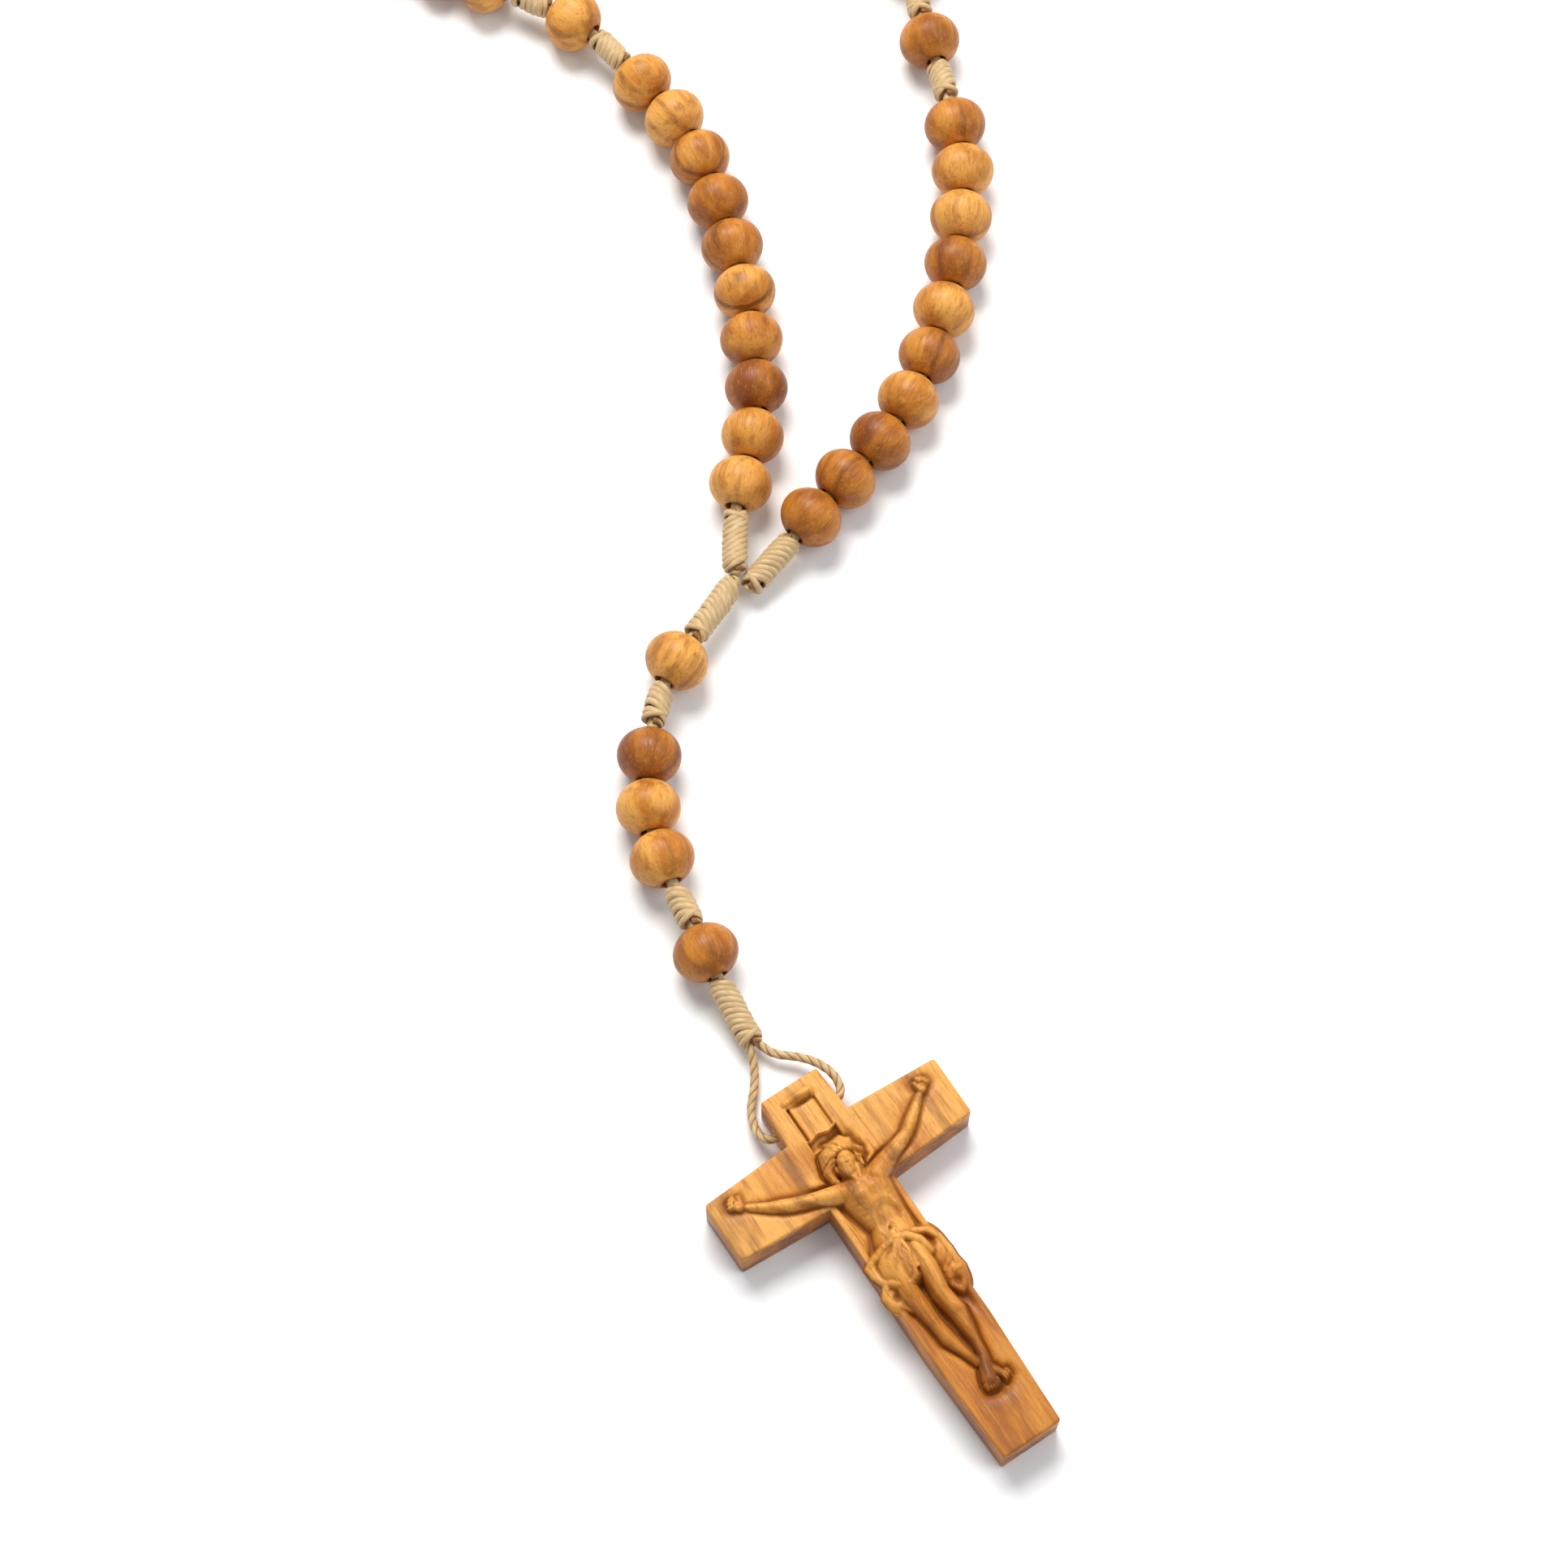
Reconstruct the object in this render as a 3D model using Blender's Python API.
"""A five-decade corded rosary, lying face up on a flat surface.

Fifty-nine turned wooden beads are strung on one waxed cord, which is wound into a barrel knot on each side of
every Our Father bead. A crucifix carved from one piece of wood hangs on the cord's end loop, which passes
through a bore across its upper arm.

Frame: +Z up, the surface at z = 0. The origin is on the crucifix's back, where its two arms cross. The ring of
beads runs away from it along +Y.
"""

import math

import bpy
import bmesh
import numpy as np
from mathutils import Matrix, Vector

for old in list(bpy.data.objects):
    bpy.data.objects.remove(old, do_unlink=True)

MM = 0.001

# ---- driving dimensions ------------------------------------------------------------------------------------

# Beads: an ellipsoid turned about its bore and faced off where the bore comes out.
BEAD_DIAMETER = 8.1 * MM
BEAD_LENGTH = 6.6 * MM
BEAD_BORE = 2.5 * MM
BEAD_SEGMENTS = 12
BEAD_BANDS = 4
DECADE = 10

# Cord: the strands inside the beads, and the barrel knots wound round them.
CORE_DIAMETER = 1.5 * MM
KNOT_DIAMETER = 3.3 * MM
KNOT_NECK = 1.9 * MM
KNOT_SHOULDER = 2.6 * MM
KNOT_NECK_LENGTH = 0.35 * MM
KNOT_SHOULDER_LENGTH = 1.1 * MM
KNOT_LENGTH = 6.1 * MM
JUNCTION_KNOT_LENGTH = 8.6 * MM
PENDANT_TOP_KNOT_LENGTH = 8.6 * MM
LOOP_KNOT_LENGTH = 9.1 * MM
CORE_END_GAP = 0.5 * MM

# Crucifix loop: the bare doubled-back end of the cord.
LOOP_CORD_DIAMETER = 1.1 * MM
LOOP_POINTS = 34

# Crucifix: a Latin cross with slightly swelling arms, in its own axes (u across, v up the shaft).
CROSS_THICKNESS = 6.0 * MM
CROSS_TURN = math.radians(33.65)
CROSS_TOP = 10.7 * MM
CROSS_BOTTOM = 39.5 * MM
CROSS_ARM = 16.2 * MM
SHAFT_END_HALF = 3.95 * MM
SHAFT_WAIST_HALF = 4.3 * MM
SHAFT_LOWER_HALF = 4.45 * MM
SHAFT_LOWER_SHARE = 0.62
ARM_END_HALF = 3.95 * MM
ARM_ROOT_HALF = 4.6 * MM
CROSS_BORE = 2.2 * MM
CROSS_BORE_FROM_TOP = 4.0 * MM

SAMPLE_STEP = 0.1 * MM

# ---- routes, in millimetres: a smooth curve runs through each list ----------------------------------------

JUNCTION = (-12.3, 75.0, 3.4)
AXIS_HEIGHT = 4.05

RING_ROUTE = [
    (-12.5, 75.7, 3.9),
    (-12.2, 86.0, AXIS_HEIGHT),
    (-10.6, 93.6, AXIS_HEIGHT),
    (-9.9, 101.0, AXIS_HEIGHT),
    (-10.5, 108.0, AXIS_HEIGHT),
    (-11.3, 114.5, AXIS_HEIGHT),
    (-12.8, 121.0, AXIS_HEIGHT),
    (-14.6, 127.3, AXIS_HEIGHT),
    (-16.8, 133.7, AXIS_HEIGHT),
    (-19.9, 139.8, AXIS_HEIGHT),
    (-24.2, 145.4, AXIS_HEIGHT),
    (-32.4, 154.4, AXIS_HEIGHT),
    (-41.5, 159.8, AXIS_HEIGHT),
    (-60.0, 169.0, AXIS_HEIGHT),
    (-79.0, 186.0, AXIS_HEIGHT),
    (-87.5, 210.5, AXIS_HEIGHT),
    (-78.0, 235.0, AXIS_HEIGHT),
    (-54.0, 247.5, AXIS_HEIGHT),
    (-30.5, 243.0, AXIS_HEIGHT),
    (-14.6, 228.0, AXIS_HEIGHT),
    (0.0, 213.5, AXIS_HEIGHT),
    (9.0, 193.5, AXIS_HEIGHT),
    (10.8, 174.0, AXIS_HEIGHT),
    (11.1, 160.8, AXIS_HEIGHT),
    (13.2, 151.5, AXIS_HEIGHT),
    (16.2, 139.0, AXIS_HEIGHT),
    (16.9, 132.0, AXIS_HEIGHT),
    (16.4, 125.0, AXIS_HEIGHT),
    (15.5, 118.3, AXIS_HEIGHT),
    (13.9, 112.0, AXIS_HEIGHT),
    (11.9, 105.5, AXIS_HEIGHT),
    (9.0, 99.2, AXIS_HEIGHT),
    (5.2, 93.4, AXIS_HEIGHT),
    (0.8, 88.2, AXIS_HEIGHT),
    (-3.4, 83.0, AXIS_HEIGHT),
    (-11.1, 74.2, 2.3),
]

PENDANT_ROUTE = [
    (-12.9, 74.3, 3.8),
    (-16.4, 69.0, 3.9),
    (-19.7, 63.9, AXIS_HEIGHT),
    (-22.2, 57.0, AXIS_HEIGHT),
    (-22.9, 51.0, AXIS_HEIGHT),
    (-22.9, 44.5, AXIS_HEIGHT),
    (-21.1, 37.8, AXIS_HEIGHT),
    (-18.4, 31.6, AXIS_HEIGHT),
    (-15.6, 25.6, AXIS_HEIGHT),
    (-12.6, 19.6, 2.9),
    (-10.0, 15.0, 2.0),
]

# The loop in the crucifix's own axes: u across, v up from the arms' crossing, z up from its back.
LOOP_ROUTE = [
    (-0.8, 17.4, 1.9),
    (-1.4, 15.9, 1.4),
    (-2.7, 13.9, 1.0),
    (-4.3, 12.1, 1.0),
    (-5.2, 10.4, 1.5),
    (-5.6, 8.6, 2.3),
    (-5.1, 7.2, 2.9),
    (-3.6, 6.7, 3.0),
    (0.0, 6.7, 3.0),
    (3.6, 6.7, 3.0),
    (5.1, 7.2, 3.05),
    (5.7, 8.8, 3.1),
    (5.4, 10.8, 2.9),
    (4.5, 12.7, 2.4),
    (3.1, 14.4, 1.9),
    (1.6, 15.8, 1.8),
    (0.8, 17.4, 1.9),
]


# ---- materials ---------------------------------------------------------------------------------------------


def surface(name, color, roughness):
    """A plain Principled material."""
    material = bpy.data.materials.new(name)
    material.use_nodes = True
    shader = material.node_tree.nodes["Principled BSDF"]
    shader.inputs["Base Color"].default_value = (*color, 1.0)
    shader.inputs["Roughness"].default_value = roughness
    shader.inputs["Metallic"].default_value = 0.0
    return material


BEAD_WOOD = surface("bead_wood", (0.52, 0.24, 0.08), 0.42)
CRUCIFIX_WOOD = surface("crucifix_wood", (0.60, 0.33, 0.14), 0.5)
CORD_FIBRE = surface("cord_fibre", (0.74, 0.58, 0.34), 0.6)


# ---- curves through points ---------------------------------------------------------------------------------


def smooth_curve(points, step=SAMPLE_STEP):
    """A natural cubic spline through points: closely spaced samples, and the arc length at each."""
    p = np.array(points, float)
    count = len(p)
    knots = np.concatenate([[0.0], np.cumsum(np.linalg.norm(np.diff(p, axis=0), axis=1) ** 0.5)])
    h = np.diff(knots)
    system = np.eye(count)
    right = np.zeros((count, 3))
    for i in range(1, count - 1):
        system[i, i - 1 : i + 2] = h[i - 1], 2 * (h[i - 1] + h[i]), h[i]
        right[i] = 6 * ((p[i + 1] - p[i]) / h[i] - (p[i] - p[i - 1]) / h[i - 1])
    bend = np.linalg.solve(system, right)
    samples = []
    for i in range(count - 1):
        pieces = max(2, math.ceil(np.linalg.norm(p[i + 1] - p[i]) / step))
        u = np.linspace(0, 1, pieces, endpoint=False)[:, None] * h[i]
        v = h[i] - u
        samples.append(
            (bend[i] * v**3 + bend[i + 1] * u**3) / (6 * h[i])
            + (p[i] / h[i] - bend[i] * h[i] / 6) * v
            + (p[i + 1] / h[i] - bend[i + 1] * h[i] / 6) * u
        )
    samples = np.vstack([*samples, p[-1:]])
    lengths = np.linalg.norm(np.diff(samples, axis=0), axis=1)
    return samples, np.concatenate([[0.0], np.cumsum(lengths)])


def in_metres(points):
    return [tuple(MM * value for value in point) for point in points]


def point_at(curve, s):
    samples, arc = curve
    return Vector([float(np.interp(s, arc, samples[:, k])) for k in range(3)])


def direction_at(curve, s):
    reach = 5 * SAMPLE_STEP
    return (point_at(curve, s + reach) - point_at(curve, s - reach)).normalized()


# ---- strings of beads and knots along a curve --------------------------------------------------------------


def decade_units(name):
    return [(f"{name}_{i + 1:02d}", BEAD_LENGTH) for i in range(DECADE)]


def our_father_units(name):
    return [("knot", KNOT_LENGTH), (f"our_father_{name}", BEAD_LENGTH), ("knot", KNOT_LENGTH)]


def ring_units():
    """What is strung along the ring, from the junction up the left strand and back down the right one."""
    units = [("knot", JUNCTION_KNOT_LENGTH), *decade_units("hail_mary_left")]
    units += [*our_father_units("left"), *decade_units("hail_mary_far_left")]
    units += [*our_father_units("far_left"), *decade_units("hail_mary_far")]
    units += [*our_father_units("far_right"), *decade_units("hail_mary_far_right")]
    units += [*our_father_units("right"), *reversed(decade_units("hail_mary_right"))]
    return [*units, ("knot", JUNCTION_KNOT_LENGTH)]


def pendant_units():
    """What is strung along the pendant, from the junction to the crucifix's loop."""
    units = [("knot", PENDANT_TOP_KNOT_LENGTH), ("our_father_upper", BEAD_LENGTH), ("knot", KNOT_LENGTH)]
    units += [(f"hail_mary_pendant_{i + 1:02d}", BEAD_LENGTH) for i in range(3)]
    return [*units, ("knot", KNOT_LENGTH), ("our_father_lower", BEAD_LENGTH), ("knot", LOOP_KNOT_LENGTH)]


def lay_out(curve, units, gap_at_end):
    """Spreads units along a curve with equal gaps: one (name, start, end) for each."""
    gaps = len(units) + (1 if gap_at_end else 0)
    gap = (curve[1][-1] - sum(length for _, length in units)) / gaps
    placed = []
    s = gap
    for name, length in units:
        placed.append((name, s, s + length))
        s += length + gap
    return placed


RING_CURVE = smooth_curve(in_metres(RING_ROUTE))
PENDANT_CURVE = smooth_curve(in_metres(PENDANT_ROUTE))
RING = lay_out(RING_CURVE, ring_units(), True)
PENDANT = lay_out(PENDANT_CURVE, pendant_units(), False)


def place_of(placed, name):
    return next(i for i, unit in enumerate(placed) if unit[0] == name)


def middle_between(placed, i):
    """The arc length halfway between unit i and the next one, where the string flexes."""
    return (placed[i][2] + placed[i + 1][1]) / 2


# Where the rigid lengths of the string meet.
LEFT_END = place_of(RING, "our_father_left") + 1
FAR_MID_FIRST = place_of(RING, "hail_mary_far_01")
FAR_MID_LAST = place_of(RING, f"hail_mary_far_{DECADE:02d}")
FAR_LEFT_END = place_of(RING, "our_father_far_right")
FAR_RIGHT_END = place_of(RING, "our_father_right") + 1
UPPER_END = place_of(PENDANT, "our_father_upper") + 1
TRIO_END = place_of(PENDANT, "hail_mary_pendant_03")

FLEX = {
    "left": point_at(RING_CURVE, middle_between(RING, LEFT_END)),
    "far": point_at(RING_CURVE, middle_between(RING, FAR_LEFT_END)),
    "right": point_at(RING_CURVE, middle_between(RING, FAR_RIGHT_END)),
    "upper": point_at(PENDANT_CURVE, middle_between(PENDANT, UPPER_END)),
    "lower": point_at(PENDANT_CURVE, middle_between(PENDANT, TRIO_END)),
}


# ---- shapes ------------------------------------------------------------------------------------------------


def link(name, data, place=None, parent=None):
    """A new object in the scene, at a world placement, moving with its parent."""
    ob = bpy.data.objects.new(name, data)
    bpy.context.scene.collection.objects.link(ob)
    ob.parent = parent
    if place is not None:
        ob.matrix_world = place
    return ob


def empty(name, position, parent=None):
    ob = link(name, None, Matrix.Translation(position), parent)
    bpy.context.view_layer.update()
    return ob


def mesh_from(build, name, material=None):
    """A mesh made by a function that fills a bmesh."""
    bm = bmesh.new()
    build(bm)
    bmesh.ops.recalc_face_normals(bm, faces=bm.faces)
    mesh = bpy.data.meshes.new(name)
    bm.to_mesh(mesh)
    bm.free()
    if material:
        mesh.materials.append(material)
    return mesh


def bead_mesh():
    """A bored bead about its own Z axis: bands of the ellipsoid outside, one wall for the bore inside."""
    bore = BEAD_BORE / 2
    radius = BEAD_DIAMETER / 2
    mouth = math.acos(bore / radius)
    stretch = BEAD_LENGTH / 2 / math.sin(mouth)
    angles = [mouth * (2 * k / BEAD_BANDS - 1) for k in range(BEAD_BANDS + 1)]
    profile = [(radius * math.cos(a), stretch * math.sin(a)) for a in angles]

    def build(bm):
        rings = []
        for r, z in profile:
            turns = [2 * math.pi * k / BEAD_SEGMENTS for k in range(BEAD_SEGMENTS)]
            rings.append([bm.verts.new((r * math.cos(t), r * math.sin(t), z)) for t in turns])
        for lower, upper in zip(rings, rings[1:] + rings[:1]):
            for k in range(BEAD_SEGMENTS):
                n = (k + 1) % BEAD_SEGMENTS
                bm.faces.new((lower[k], lower[n], upper[n], upper[k]))

    mesh = mesh_from(build, "bead", BEAD_WOOD)
    mesh.shade_smooth()
    return mesh


def along(direction, origin):
    """A placement with its Z along a direction and one X edge straight down."""
    z = direction.normalized()
    down = Vector((0, 0, -1))
    x = (down - z * down.dot(z)).normalized()
    y = z.cross(x)
    matrix = Matrix((x, y, z)).transposed().to_4x4()
    matrix.translation = origin
    return matrix


def tube(name, points, shares, diameter, material, parent, resolution=2):
    """A tube with filled caps through points; each point's share scales the tube's radius there."""
    curve = bpy.data.curves.new(name, "CURVE")
    curve.dimensions = "3D"
    curve.bevel_depth = diameter / 2
    curve.bevel_resolution = resolution
    curve.use_fill_caps = True
    spline = curve.splines.new("POLY")
    spline.points.add(len(points) - 1)
    for spot, point, share in zip(spline.points, points, shares):
        spot.co = (*point, 1.0)
        spot.radius = share
    curve.materials.append(material)
    return link(name, curve, Matrix.Identity(4), parent)


def knot_stops(start, end):
    """Arc lengths and diameters down one barrel knot."""
    near = [
        (0.0, KNOT_NECK),
        (KNOT_NECK_LENGTH, KNOT_SHOULDER),
        (KNOT_SHOULDER_LENGTH, KNOT_DIAMETER),
    ]
    stops = [(start + s, d) for s, d in near]
    stops.append(((start + end) / 2, KNOT_DIAMETER))
    return stops + [(end - s, d) for s, d in reversed(near)]


def string_cord(name, curve, placed, first, last, parent):
    """The cord along units first to last: thin inside each bead, swollen at each knot."""
    stops = []
    for i in range(first, last + 1):
        unit, start, end = placed[i]
        if unit == "knot":
            stops += knot_stops(start, end)
            continue
        inset = CORE_END_GAP if i == first else 0.0
        outset = CORE_END_GAP if i == last else 0.0
        stops += [(start + inset, CORE_DIAMETER), ((start + end) / 2, CORE_DIAMETER)]
        stops.append((end - outset, CORE_DIAMETER))
    points = [point_at(curve, s) for s, _ in stops]
    shares = [d / CORE_DIAMETER for _, d in stops]
    return tube(name, points, shares, CORE_DIAMETER, CORD_FIBRE, parent)


def beads(curve, placed, first, last, parent):
    """One bored bead for each bead unit from first to last, each on an empty of its own that it turns with."""
    for i in range(first, last + 1):
        unit, start, end = placed[i]
        if unit == "knot":
            continue
        s = (start + end) / 2
        holder = empty(f"turn_{unit}", point_at(curve, s), parent)
        link(f"bead_{unit}", BEAD, along(direction_at(curve, s), point_at(curve, s)), holder)


def joined_decade(name, curve, placed, first, last, parent):
    """The decade opposite the junction: its beads and the cord in them, turned as one string."""
    radius = BEAD_DIAMETER / 2
    mouth = math.acos(BEAD_BORE / 2 / radius)
    stops = []
    for i in range(first, last + 1):
        _, start, end = placed[i]
        for k in range(BEAD_BANDS + 1):
            angle = mouth * (2 * k / BEAD_BANDS - 1)
            share = math.sin(angle) / math.sin(mouth)
            s = (start + end) / 2 + (end - start) / 2 * share
            stops.append((s, BEAD_DIAMETER * math.cos(angle)))
    points = [point_at(curve, s) for s, _ in stops]
    shares = [d / BEAD_DIAMETER for _, d in stops]
    return tube(name, points, shares, BEAD_DIAMETER, BEAD_WOOD, parent, resolution=3)


# ---- crucifix ----------------------------------------------------------------------------------------------

CROSS_PLACE = Matrix.Rotation(CROSS_TURN, 4, "Z")
BORE_CENTRE = CROSS_PLACE @ Vector((0, CROSS_TOP - CROSS_BORE_FROM_TOP, CROSS_THICKNESS / 2))
BORE_AXIS = CROSS_PLACE.to_3x3() @ Vector((1, 0, 0))


def cross_mesh():
    """The plain cross: its outline, raised to its thickness."""
    half = [
        (SHAFT_END_HALF, CROSS_TOP),
        (SHAFT_WAIST_HALF, ARM_ROOT_HALF),
        (CROSS_ARM, ARM_END_HALF),
        (CROSS_ARM, -ARM_END_HALF),
        (SHAFT_WAIST_HALF, -ARM_ROOT_HALF),
        (SHAFT_LOWER_HALF, -SHAFT_LOWER_SHARE * CROSS_BOTTOM),
        (SHAFT_END_HALF, -CROSS_BOTTOM),
    ]
    outline = half + [(-u, v) for u, v in reversed(half)]

    def build(bm):
        face = bm.faces.new([bm.verts.new((u, v, 0)) for u, v in outline])
        raised = bmesh.ops.extrude_face_region(bm, geom=[face])["geom"]
        tops = [g for g in raised if isinstance(g, bmesh.types.BMVert)]
        bmesh.ops.translate(bm, verts=tops, vec=(0, 0, CROSS_THICKNESS))

    return mesh_from(build, "crucifix", CRUCIFIX_WOOD)


def tool(name, build, place):
    """A form that the crucifix is joined with or cut by, and that isn't a piece itself."""
    ob = link(name, mesh_from(build, name), place)
    ob.hide_render = True
    ob.display_type = "WIRE"
    return ob


def bore_tool():
    def build(bm):
        bmesh.ops.create_cone(
            bm,
            cap_ends=True,
            segments=12,
            radius1=CROSS_BORE / 2,
            radius2=CROSS_BORE / 2,
            depth=4 * SHAFT_WAIST_HALF,
            matrix=Matrix.Rotation(math.pi / 2, 4, "Y"),
        )

    return tool("tool_bore", build, Matrix.Translation(BORE_CENTRE) @ Matrix.Rotation(CROSS_TURN, 4, "Z"))


def limb_tool(name, start, end, r_start, r_end):
    """A tapered limb between two points in millimetres: (u, v, z) in the crucifix's axes."""
    a = Vector(start) * MM
    b = Vector(end) * MM

    def build(bm):
        bmesh.ops.create_cone(
            bm,
            cap_ends=True,
            segments=8,
            radius1=r_start * MM,
            radius2=r_end * MM,
            depth=(b - a).length,
        )

    turn = (b - a).to_track_quat("Z", "Y").to_matrix().to_4x4()
    return tool(name, build, CROSS_PLACE @ Matrix.Translation((a + b) / 2) @ turn)


def lump_tool(name, centre, radii):
    """An ellipsoid at a point, in millimetres in the crucifix's axes."""

    def build(bm):
        bmesh.ops.create_icosphere(bm, subdivisions=2, radius=1.0)
        bmesh.ops.scale(bm, vec=Vector(radii) * MM, verts=bm.verts)

    return tool(name, build, CROSS_PLACE @ Matrix.Translation(Vector(centre) * MM))


def corpus_tools():
    """The figure's masses: head, trunk, arms, cloth and legs, carved in one with the cross."""
    top = CROSS_THICKNESS / MM
    return [
        lump_tool("form_titulus", (-0.4, 6.6, top), (2.6, 2.6, 0.7)),
        lump_tool("form_head", (0.3, -0.9, top + 0.9), (2.3, 2.9, 1.9)),
        lump_tool("form_chest", (0.4, -6.8, top - 0.1), (3.5, 3.9, 2.0)),
        lump_tool("form_belly", (0.0, -11.5, top - 0.3), (2.7, 3.6, 1.6)),
        lump_tool("form_cloth", (0.4, -17.0, top - 0.2), (5.2, 3.4, 2.5)),
        limb_tool("form_arm_left", (-2.2, -4.0, top + 0.2), (-8.4, -1.2, top), 1.3, 1.0),
        limb_tool("form_forearm_left", (-8.2, -1.3, top), (-13.6, 2.0, top), 1.0, 0.8),
        limb_tool("form_arm_right", (2.4, -4.2, top + 0.2), (7.8, -1.4, top), 1.3, 1.0),
        limb_tool("form_forearm_right", (7.6, -1.5, top), (13.0, 1.8, top), 1.0, 0.8),
        limb_tool("form_thigh_left", (-1.6, -17.0, top), (-2.6, -23.0, top + 0.5), 1.8, 1.4),
        limb_tool("form_shin_left", (-2.6, -22.4, top + 0.5), (-0.6, -30.0, top), 1.4, 0.9),
        limb_tool("form_thigh_right", (1.6, -17.0, top), (0.9, -22.5, top + 0.8), 1.8, 1.4),
        limb_tool("form_shin_right", (0.9, -22.0, top + 0.8), (0.3, -29.5, top + 0.2), 1.4, 0.9),
        lump_tool("form_feet", (0.4, -31.0, top), (1.6, 2.2, 1.2)),
    ]


def crucifix(parent):
    ob = link("crucifix", cross_mesh(), CROSS_PLACE, parent)
    for form in corpus_tools():
        join = ob.modifiers.new(form.name, "BOOLEAN")
        join.operation = "UNION"
        join.object = form
    cut = ob.modifiers.new("bore", "BOOLEAN")
    cut.operation = "DIFFERENCE"
    cut.object = bore_tool()
    return ob


def crucifix_loop(parent):
    curve = smooth_curve(in_metres(LOOP_ROUTE))
    stops = np.linspace(0, curve[1][-1], LOOP_POINTS)
    points = [CROSS_PLACE @ point_at(curve, s) for s in stops]
    return tube("crucifix_loop", points, [1.0] * len(points), LOOP_CORD_DIAMETER, CORD_FIBRE, parent)


# ---- the rosary --------------------------------------------------------------------------------------------

BEAD = bead_mesh()
LOOP_PIVOT = Vector(PENDANT_ROUTE[-1]) * MM

pendant_upper = empty("pendant_upper", Vector(JUNCTION) * MM)
left_strand = empty("left_strand", Vector(JUNCTION) * MM, pendant_upper)
right_strand = empty("right_strand", Vector(JUNCTION) * MM, pendant_upper)
far_left = empty("far_left", FLEX["left"], left_strand)
far_right = empty("far_right", FLEX["right"], right_strand)
pendant_trio = empty("pendant_trio", FLEX["upper"], pendant_upper)
pendant_lower = empty("pendant_lower", FLEX["lower"], pendant_trio)
loop_pivot = empty("loop_pivot", LOOP_PIVOT, pendant_lower)
crucifix_pivot = empty("crucifix_pivot", BORE_CENTRE, loop_pivot)


def ring_length(cord, first, last, parent):
    """A rigid length of the ring: its cord, and its beads."""
    string_cord(cord, RING_CURVE, RING, first, last, parent)
    beads(RING_CURVE, RING, first, last, parent)


def pendant_length(cord, first, last, parent):
    """A rigid length of the pendant: its cord, and its beads."""
    string_cord(cord, PENDANT_CURVE, PENDANT, first, last, parent)
    beads(PENDANT_CURVE, PENDANT, first, last, parent)


pendant_length("cord_pendant_upper", 0, UPPER_END, pendant_upper)
pendant_length("cord_pendant_trio", UPPER_END + 1, TRIO_END, pendant_trio)
pendant_length("cord_pendant_lower", TRIO_END + 1, len(PENDANT) - 1, pendant_lower)
ring_length("cord_left", 0, LEFT_END, left_strand)
ring_length("cord_far_left", LEFT_END + 1, FAR_MID_FIRST - 1, far_left)
joined_decade("beads_hail_mary_far", RING_CURVE, RING, FAR_MID_FIRST, FAR_MID_LAST, far_left)
ring_length("cord_far_middle", FAR_MID_LAST + 1, FAR_LEFT_END, far_left)
ring_length("cord_far_right", FAR_LEFT_END + 1, FAR_RIGHT_END, far_right)
ring_length("cord_right", FAR_RIGHT_END + 1, len(RING) - 1, right_strand)
crucifix_loop(loop_pivot)
crucifix(crucifix_pivot)
